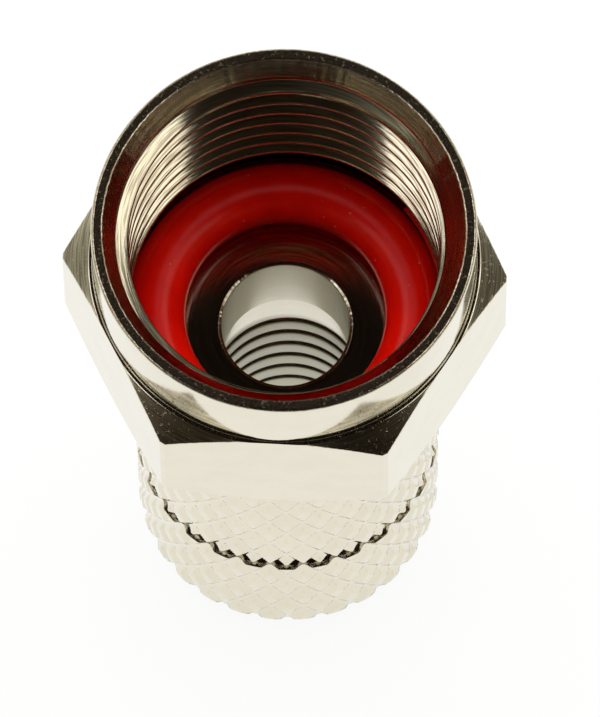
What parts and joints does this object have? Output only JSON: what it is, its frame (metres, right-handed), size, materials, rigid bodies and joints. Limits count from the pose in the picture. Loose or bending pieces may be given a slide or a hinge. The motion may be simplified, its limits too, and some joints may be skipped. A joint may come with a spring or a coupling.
{
  "type": "twist-on coaxial f connector",
  "caption": "Coaxial cable connector with a hexagonal coupling nut turning on a diamond-knurled sleeve, and a rubber sealing ring inside the nut.",
  "frame": {"origin": "centre of the rear (cable) end face of the knurled body, on the connector's axis", "axes": "+Z along the connector's axis from the cable end to the open mouth of the coupling nut; two corners of the nut's hexagon lie on +X and -X at rest"},
  "size_m": [0.0126, 0.011, 0.022],
  "materials": {
    "nut_nickel": "bright nickel plating on turned brass",
    "body_nickel": "bright nickel plating on knurled brass",
    "ring_rubber": "smooth red silicone rubber"
  },
  "bodies": {
    "body": {"knurled_body": "body_nickel", "sealing_ring": "ring_rubber"},
    "nut": {"coupling_nut": "nut_nickel"}
  },
  "joints": [
    {"name": "nut_spin", "type": "hinge", "parent": "body", "child": "nut", "pos_m": [0, 0, 0.0135], "axis": [0, 0, 1], "continuous": true}
  ]
}
